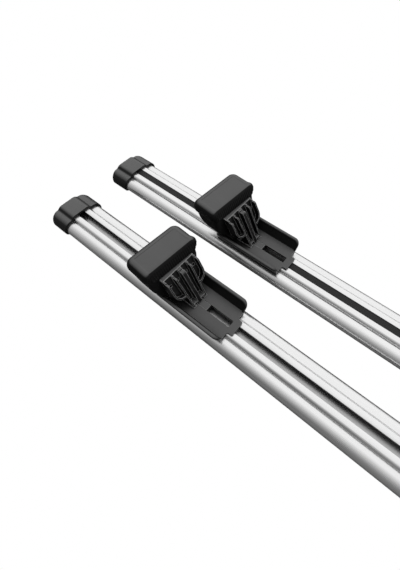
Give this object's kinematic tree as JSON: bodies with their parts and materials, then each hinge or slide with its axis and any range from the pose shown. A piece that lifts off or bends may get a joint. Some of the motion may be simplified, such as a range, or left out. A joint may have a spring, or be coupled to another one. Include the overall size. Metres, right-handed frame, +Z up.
{
  "type": "pair of roof cross bars",
  "caption": "Pair of slotted aluminium roof cross bars with end caps and sliding clamp feet that carry thick rubber pads, lying smooth side down.",
  "frame": {"origin": "on the floor under the middle of the pair, half way along the bars and half way between them", "axes": "+X along the bars, +Y from the front bar to the rear bar, +Z up, away from the smooth faces and towards the pads"},
  "size_m": [1.2, 0.2556, 0.1055],
  "materials": {
    "bar": "extruded and anodised, satin, with fine draw lines along it",
    "cap": "moulded, fine grain",
    "infill": "extruded, matt",
    "tray": "extruded and coated dark, satin",
    "jaw": "glass-filled moulding, satin",
    "boot": "moulded, matt, fine grain",
    "bolt": "dark plated, satin",
    "washer": "plated",
    "nut": "plated"
  },
  "bodies": {
    "bars": {"front_extrusion": "bar", "rear_extrusion": "bar", "front_left_end_cap": "cap", "front_right_end_cap": "cap", "rear_left_end_cap": "cap", "rear_right_end_cap": "cap", "rear_left_infill": "infill", "rear_middle_infill": "infill", "rear_right_infill": "infill", "front_left_tray": "tray", "front_right_tray": "tray", "rear_left_tray": "tray", "rear_right_tray": "tray", "front_left_tray_bolt": "bolt", "front_right_tray_bolt": "bolt", "rear_left_tray_bolt": "bolt", "rear_right_tray_bolt": "bolt", "front_left_tray_nut": "nut", "front_right_tray_nut": "nut", "rear_left_tray_nut": "nut", "rear_right_tray_nut": "nut"},
    "front_left_clamp": {"front_left_jaw": "jaw", "front_left_boot": "boot", "front_left_clamp_bolt": "bolt", "front_left_washer": "washer", "front_left_clamp_nut": "nut"},
    "front_right_clamp": {"front_right_jaw": "jaw", "front_right_boot": "boot", "front_right_clamp_bolt": "bolt", "front_right_washer": "washer", "front_right_clamp_nut": "nut"},
    "rear_left_clamp": {"rear_left_jaw": "jaw", "rear_left_boot": "boot", "rear_left_clamp_bolt": "bolt", "rear_left_washer": "washer", "rear_left_clamp_nut": "nut"},
    "rear_right_clamp": {"rear_right_jaw": "jaw", "rear_right_boot": "boot", "rear_right_clamp_bolt": "bolt", "rear_right_washer": "washer", "rear_right_clamp_nut": "nut"}
  },
  "joints": [
    {"name": "front_left_clamp_slide", "type": "slide", "parent": "bars", "child": "front_left_clamp", "axis": [1, 0, 0], "range_m": [0, 0.04]},
    {"name": "front_right_clamp_slide", "type": "slide", "parent": "bars", "child": "front_right_clamp", "axis": [-1, 0, 0], "range_m": [0, 0.04]},
    {"name": "rear_left_clamp_slide", "type": "slide", "parent": "bars", "child": "rear_left_clamp", "axis": [1, 0, 0], "range_m": [0, 0.04]},
    {"name": "rear_right_clamp_slide", "type": "slide", "parent": "bars", "child": "rear_right_clamp", "axis": [-1, 0, 0], "range_m": [0, 0.04]}
  ]
}
